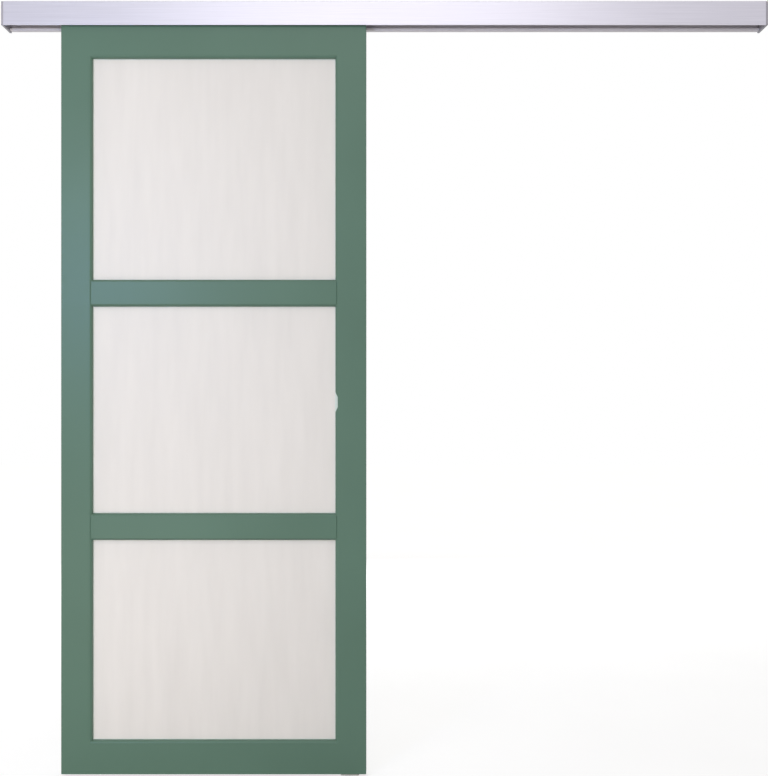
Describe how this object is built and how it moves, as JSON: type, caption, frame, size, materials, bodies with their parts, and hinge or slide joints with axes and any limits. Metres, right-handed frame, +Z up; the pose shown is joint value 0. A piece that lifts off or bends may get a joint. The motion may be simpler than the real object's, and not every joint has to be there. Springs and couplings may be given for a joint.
{
  "type": "glazed sliding door",
  "caption": "Glazed timber sliding door leaf with frosted panes, hung by roller carriages from a wall-mounted track behind a flat aluminium fascia, with a floor guide.",
  "frame": {"origin": "on the wall face of the track, at the middle of its row of wall screw holes", "axes": "+X to the right seen from the front, along the track and the way the leaf slides; +Y from the front into the wall; +Z up"},
  "size_m": [2.08, 0.07, 2.108],
  "materials": {
    "green_paint": "satin green paint on timber",
    "frosted_glass": "white frosted laminated glass",
    "brushed_aluminium": "brushed lengthwise, clear anodised",
    "mill_aluminium": "extruded, clear anodised",
    "cap_plastic": "moulded grey plastic",
    "glazing_seal": "pale translucent glazing tape",
    "zinc_steel": "bright zinc plated",
    "die_cast": "die-cast zinc, as cast",
    "wheel_nylon": "natural nylon",
    "guide_nylon": "pale grey nylon",
    "buffer_rubber": "black rubber",
    "beech": "fluted beech dowel",
    "setting_plastic": "moulded setting block"
  },
  "bodies": {
    "track": {"track_rail": "mill_aluminium", "fascia": "brushed_aluminium", "left_end_cap": "cap_plastic", "right_end_cap": "cap_plastic", "end_cap_screws": "zinc_steel", "left_stop": "die_cast", "right_stop": "die_cast", "left_buffer": "buffer_rubber", "right_buffer": "buffer_rubber", "stop_screws": "zinc_steel", "floor_guide": "guide_nylon"},
    "leaf": {"left_stile": "green_paint", "right_stile": "green_paint", "top_rail": "green_paint", "upper_mid_rail": "green_paint", "lower_mid_rail": "green_paint", "bottom_rail": "green_paint", "upper_pane": "frosted_glass", "upper_front_seal": "glazing_seal", "upper_rear_seal": "glazing_seal", "upper_left_bead": "green_paint", "upper_right_bead": "green_paint", "upper_top_bead": "green_paint", "upper_bottom_bead": "green_paint", "middle_pane": "frosted_glass", "middle_front_seal": "glazing_seal", "middle_rear_seal": "glazing_seal", "middle_left_bead": "green_paint", "middle_right_bead": "green_paint", "middle_top_bead": "green_paint", "middle_bottom_bead": "green_paint", "lower_pane": "frosted_glass", "lower_front_seal": "glazing_seal", "lower_rear_seal": "glazing_seal", "lower_left_bead": "green_paint", "lower_right_bead": "green_paint", "lower_top_bead": "green_paint", "lower_bottom_bead": "green_paint", "setting_blocks": "setting_plastic", "frame_dowels": "beech", "hanger_screws": "zinc_steel", "lock_nuts": "zinc_steel", "left_hanger": "zinc_steel", "left_hanger_bolt": "zinc_steel", "left_carriage": "die_cast", "left_axles": "zinc_steel", "right_hanger": "zinc_steel", "right_hanger_bolt": "zinc_steel", "right_carriage": "die_cast", "right_axles": "zinc_steel"},
    "left_wheel_1": {"left_wheel_1": "wheel_nylon"},
    "left_wheel_2": {"left_wheel_2": "wheel_nylon"},
    "left_wheel_3": {"left_wheel_3": "wheel_nylon"},
    "left_wheel_4": {"left_wheel_4": "wheel_nylon"},
    "right_wheel_1": {"right_wheel_1": "wheel_nylon"},
    "right_wheel_2": {"right_wheel_2": "wheel_nylon"},
    "right_wheel_3": {"right_wheel_3": "wheel_nylon"},
    "right_wheel_4": {"right_wheel_4": "wheel_nylon"}
  },
  "joints": [
    {"name": "leaf_slide", "type": "slide", "parent": "track", "child": "leaf", "axis": [1, 0, 0], "range_m": [0, 0.76]},
    {"name": "left_wheel_1_spin", "type": "hinge", "parent": "leaf", "child": "left_wheel_1", "pos_m": [-0.732, -0.0504, 0.0183], "axis": [0, 1, 0], "continuous": true},
    {"name": "left_wheel_2_spin", "type": "hinge", "parent": "leaf", "child": "left_wheel_2", "pos_m": [-0.732, -0.0296, 0.0183], "axis": [0, 1, 0], "continuous": true},
    {"name": "left_wheel_3_spin", "type": "hinge", "parent": "leaf", "child": "left_wheel_3", "pos_m": [-0.688, -0.0504, 0.0183], "axis": [0, 1, 0], "continuous": true},
    {"name": "left_wheel_4_spin", "type": "hinge", "parent": "leaf", "child": "left_wheel_4", "pos_m": [-0.688, -0.0296, 0.0183], "axis": [0, 1, 0], "continuous": true},
    {"name": "right_wheel_1_spin", "type": "hinge", "parent": "leaf", "child": "right_wheel_1", "pos_m": [-0.242, -0.0504, 0.0183], "axis": [0, 1, 0], "continuous": true},
    {"name": "right_wheel_2_spin", "type": "hinge", "parent": "leaf", "child": "right_wheel_2", "pos_m": [-0.242, -0.0296, 0.0183], "axis": [0, 1, 0], "continuous": true},
    {"name": "right_wheel_3_spin", "type": "hinge", "parent": "leaf", "child": "right_wheel_3", "pos_m": [-0.198, -0.0504, 0.0183], "axis": [0, 1, 0], "continuous": true},
    {"name": "right_wheel_4_spin", "type": "hinge", "parent": "leaf", "child": "right_wheel_4", "pos_m": [-0.198, -0.0296, 0.0183], "axis": [0, 1, 0], "continuous": true}
  ],
  "couplings": [
    {"joint": "left_wheel_1_spin", "follows": "leaf_slide", "rad_per_m": 83.333},
    {"joint": "left_wheel_2_spin", "follows": "leaf_slide", "rad_per_m": 83.333},
    {"joint": "left_wheel_3_spin", "follows": "leaf_slide", "rad_per_m": 83.333},
    {"joint": "left_wheel_4_spin", "follows": "leaf_slide", "rad_per_m": 83.333},
    {"joint": "right_wheel_1_spin", "follows": "leaf_slide", "rad_per_m": 83.333},
    {"joint": "right_wheel_2_spin", "follows": "leaf_slide", "rad_per_m": 83.333},
    {"joint": "right_wheel_3_spin", "follows": "leaf_slide", "rad_per_m": 83.333},
    {"joint": "right_wheel_4_spin", "follows": "leaf_slide", "rad_per_m": 83.333}
  ]
}
